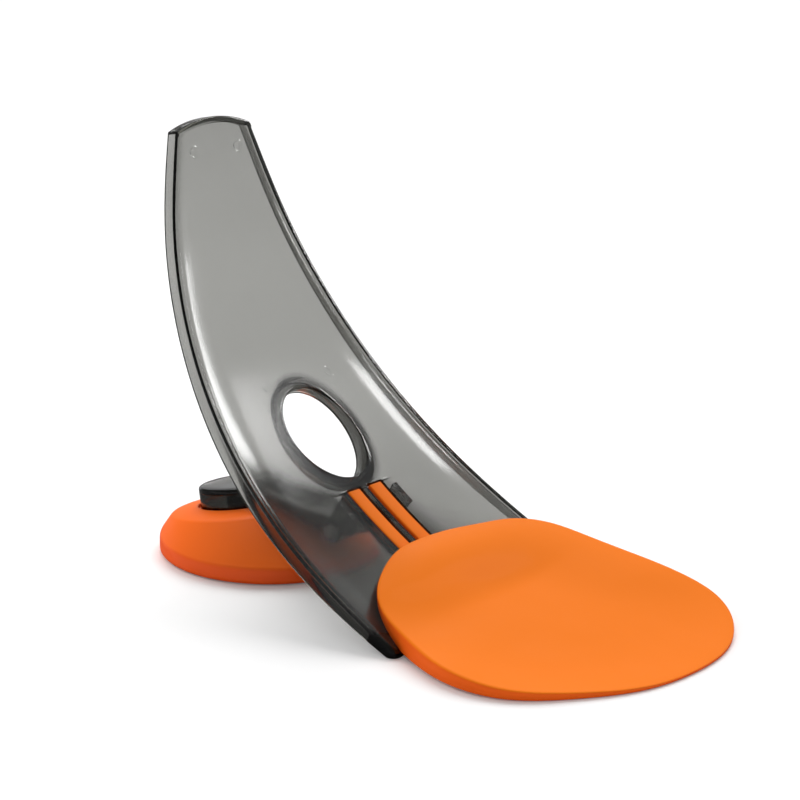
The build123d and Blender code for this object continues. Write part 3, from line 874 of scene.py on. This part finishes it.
for side_sign in (-1, 1):
    prong(skirt_mesh, side_sign * PRONG_INNER, side_sign * PRONG_OUTER)
close(skirt_mesh)
keep(skirt_mesh, "soft_skirt", skirt_finish, "ramp_body", ["skirt"], sharp=60)

# %% [markdown]
# ## The base disc
# The disc is turned like a lampshade, but its top leans towards the player. So each
# ring has its own middle, radius and tilt, and the skin runs from ring to ring: up the
# outside, over the crown, into the well for the puck, down the bore and back along the
# inside to the foot.

# %% Rings of the disc
DISC_X, DISC_RADIUS = TOE_X - 135.0, 53.0
HUB = Vector((TOE_X - 153.0, 0, 17.8))
HUB_TILT = math.radians(10)
hub_up = Vector((-math.sin(HUB_TILT), 0, math.cos(HUB_TILT)))
hub_side = Vector((math.cos(HUB_TILT), 0, math.sin(HUB_TILT)))
ROUND = 128


def flat_ring(radius, height):
    return Vector((DISC_X, 0, height)), Vector((1, 0, 0)), radius


def hub_ring(radius, height):
    return HUB + hub_up * height, hub_side, radius


def turned(bm, rings):
    """Skins rings given as ((middle, direction, radius), rounding) all the way round."""
    spokes = []
    for i in range(ROUND):
        angle = 2 * math.pi * i / ROUND
        corners = []
        for (middle, sideways, radius), soft in rings:
            point = middle + sideways * radius * math.cos(angle) + Vector((0, radius * math.sin(angle), 0))
            corners.append((point, soft))
        spokes.append(rounded(corners, steps=4))
    skin(bm, [list(row) + [row[0]] for row in zip(*spokes)])


housing_rings = [
    (flat_ring(DISC_RADIUS - 1, 0.5), 0),
    (flat_ring(DISC_RADIUS, 1.6), 0.8),
    (flat_ring(DISC_RADIUS, 8.0), 1.8),
    (hub_ring(34.8, 0.2), 1.5),
    (hub_ring(23.0, 2.5), 0.7),
    (hub_ring(21.7, 2.3), 0.5),
    (hub_ring(21.7, 0.5), 0.4),
    (hub_ring(9.5, 0.5), 0),
    (hub_ring(9.5, -7.7), 0),
    (hub_ring(12.0, -7.7), 0),
    (hub_ring(12.0, -8.4), 0),
    (flat_ring(42.4, 7.4), 0),
    (flat_ring(42.4, 3.5), 0),
    (flat_ring(48.2, 3.5), 0),
    (flat_ring(48.2, 0.5), 0),
    (flat_ring(DISC_RADIUS - 1, 0.5), 0),
]
housing_mesh = bmesh.new()
turned(housing_mesh, housing_rings)
close(housing_mesh)
keep(housing_mesh, "disc_housing", disc_finish, "disc_body", ["base_housing"], sharp=35)

# %% [markdown]
# ## Puck, cap and arm
# The glossy puck in the middle of the disc is the end of the arm. It stays see-through
# like the ramp, and a thin cap closes it.

# %% Puck cap
cap_mesh = bmesh.new()
PUCK_RADIUS, CAP_SEAT, PUCK_TOP = 20.5, 9.0, 11.5
turned(cap_mesh, [
    (hub_ring(0.0, CAP_SEAT), 0),
    (hub_ring(PUCK_RADIUS, CAP_SEAT), 0.3),
    (hub_ring(PUCK_RADIUS, PUCK_TOP), 1.7),
    (hub_ring(14.0, PUCK_TOP), 0),
    (hub_ring(7.0, PUCK_TOP - 0.15), 0),
    (hub_ring(0.0, PUCK_TOP - 0.2), 0),
])
close(cap_mesh)
keep(cap_mesh, "glossy_cap", puck_finish, "arm_body", ["puck_cap"], sharp=35)

# %% The arm keeps its CAD shape, merged and shaded smooth
arm_mesh = bmesh.new()
arm_mesh.from_mesh(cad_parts["arm"].data)
bmesh.ops.scale(arm_mesh, vec=(1 / MM,) * 3, verts=arm_mesh.verts)
bmesh.ops.remove_doubles(arm_mesh, verts=arm_mesh.verts, dist=0.002)
keep(arm_mesh, "smoked_arm", arm_finish, "arm_body", ["arm"], sharp=25)

# %% [markdown]
# ## Floor and light
# A shop portrait is lit by a white room, with a sun whose disc is very wide and a panel
# at the left. The floor and the room answer each kind of ray in their own way. The
# camera sees them white, glossy reflections meet a dim studio with three bright
# softboxes, which give the gloss its long streaks, and the floor under the ramp is
# dimmed where it is seen through the plastic. That is a studio trick, made for the
# portrait's side, and it would look less true from elsewhere.

# %% Floor
FLOOR_GLOW, FLOOR_SHADE, PAPER_SHADE, GLOOM_SHADE = 0.08, 0.87, 0.8, 0.12
DIM_FROM, DIM_SLOPE, DIM_MOST = 0.105, 18.0, 0.9
floor_mesh = bmesh.new()
bmesh.ops.create_grid(floor_mesh, x_segments=1, y_segments=1, size=6.0)
floor_data = bpy.data.meshes.new("floor")
floor_mesh.to_mesh(floor_data)
floor_mesh.free()
floor = bpy.data.objects.new("floor", floor_data)
floor.location.z = -0.0002
bpy.context.scene.collection.objects.link(floor)
floor_finish = Finish("white_floor", (FLOOR_SHADE,) * 3, Roughness=0.9, Specular_IOR_Level=0.0)
floor_finish.shader.inputs["Emission Color"].default_value = (1, 1, 1, 1)
floor_finish.shader.inputs["Emission Strength"].default_value = FLOOR_GLOW


def matt(shade):
    """A plain grey shader."""
    return floor_finish.node("ShaderNodeBsdfDiffuse", Color=(shade, shade, shade, 1))


def mixed(factor, first, second):
    """A Mix Shader between two shaders."""
    mix = floor_finish.tree.nodes.new("ShaderNodeMixShader")
    for place, part in zip(mix.inputs, (factor, first, second)):
        floor_finish.tree.links.new(part.socket, place)
    return Flow(floor_finish.tree, mix.outputs[0])


paper, gloom = matt(PAPER_SHADE), matt(GLOOM_SHADE)
rays = floor_finish.tree.nodes.new("ShaderNodeLightPath")
seen_as = Flow(floor_finish.tree, floor_finish.shader.outputs[0])
for ray, look in (("Is Diffuse Ray", paper), ("Is Glossy Ray", gloom), ("Is Transmission Ray", paper)):
    seen_as = mixed(Flow(floor_finish.tree, rays.outputs[ray]), seen_as, look)
position = floor_finish.node("ShaderNodeNewGeometry")
across_floor = floor_finish.node("ShaderNodeSeparateXYZ", output=1, Vector=position)
under = (DIM_FROM - across_floor) * DIM_SLOPE
under = under.sum("MINIMUM", under.sum("MAXIMUM", under, 0.0), DIM_MOST)
through_plastic = Flow(floor_finish.tree, rays.outputs["Is Transmission Ray"])
seen_as = mixed(through_plastic * under, seen_as, gloom)
floor_finish.tree.links.new(seen_as.socket, floor_finish.tree.nodes["Material Output"].inputs[0])
floor_data.materials.append(floor_finish.material)

# %% World
ROOM_FILL, HORIZON_GLOW, STUDIO_GLOW, HORIZON_FADE = 0.5, 0.6, 0.05, 4.0
world = bpy.data.worlds.new("white_room")
bpy.context.scene.world = world
world.use_nodes = True
room = world.node_tree
seen = room.nodes.new("ShaderNodeLightPath")
direction = room.nodes.new("ShaderNodeTexCoord")
split = room.nodes.new("ShaderNodeSeparateXYZ")
room.links.new(direction.outputs["Generated"], split.inputs[0])
height = Flow(room, split.outputs[2])
backdrop = 1 - height.sum("MINIMUM", height.sum("ABSOLUTE", height, 0) * HORIZON_FADE, 1.0)
shiny = Flow(room, seen.outputs["Is Glossy Ray"])
diffuse = Flow(room, seen.outputs["Is Diffuse Ray"])
through = Flow(room, seen.outputs["Is Transmission Ray"])
# A rough refraction counts as both glossy and transmission, and here it is transmission.
glossy = shiny * (1 - through)
straight = 1 - glossy - diffuse
strength = straight + diffuse * ROOM_FILL + glossy * (backdrop * HORIZON_GLOW + STUDIO_GLOW)
background = room.nodes["Background"]
room.links.new(strength.socket, background.inputs["Strength"])
background.inputs["Color"].default_value = (1, 1, 1, 1)


# %% Lights
LIT = Vector((-0.04, 0, 0.06))
DAYLIGHT, SUN_RAYS, SUN_WIDTH = 0.89, (0.42, -0.62, -0.66), math.radians(50)


def panel(name, direction, reach, size, radiance):
    """A soft rectangular light that looks at the ramp from a direction."""
    data = bpy.data.lights.new(name, "AREA")
    data.shape, data.size, data.size_y = "RECTANGLE", *size
    data.energy = radiance * size[0] * size[1] * math.pi
    lamp = bpy.data.objects.new(name, data)
    away = Vector(direction).normalized()
    lamp.location = LIT + away * reach
    along = Vector((away.z, 0, -away.x)).normalized()
    lamp.rotation_mode = "QUATERNION"
    lamp.rotation_quaternion = Matrix((along, away.cross(along), away)).transposed().to_quaternion()
    lamp.visible_camera = lamp.visible_transmission = False
    bpy.context.scene.collection.objects.link(lamp)
    return lamp


def softbox(name, direction, reach, size, radiance):
    """A panel that is only seen as a reflection."""
    lamp = panel(name, direction, reach, size, radiance)
    lamp.visible_diffuse = False


softbox("near_streak", (0.33, 0.84, 0.43), 4.0, (1.9, 0.6), 11.0)
softbox("far_streak", (0.30, 0.65, 0.70), 4.0, (1.2, 0.45), 11.0)
softbox("puck_streak", (-0.55, 0.6, 0.5), 1.3, (0.6, 0.4), 2.0)
daylight = bpy.data.lights.new("daylight", "SUN")
daylight.energy = DAYLIGHT * math.pi
daylight.angle = SUN_WIDTH
sun = bpy.data.objects.new("daylight", daylight)
sun.rotation_mode = "QUATERNION"
sun.rotation_quaternion = Vector(SUN_RAYS).to_track_quat("-Z", "Y")
sun.visible_glossy = False
bpy.context.scene.collection.objects.link(sun)
panel("left_panel", (-0.95, -0.1, 0.25), 1.2, (0.5, 0.7), 7.0).visible_glossy = False
bpy.context.scene.view_settings.view_transform = "Standard"
print("lights:", [lamp.name for lamp in bpy.data.lights])
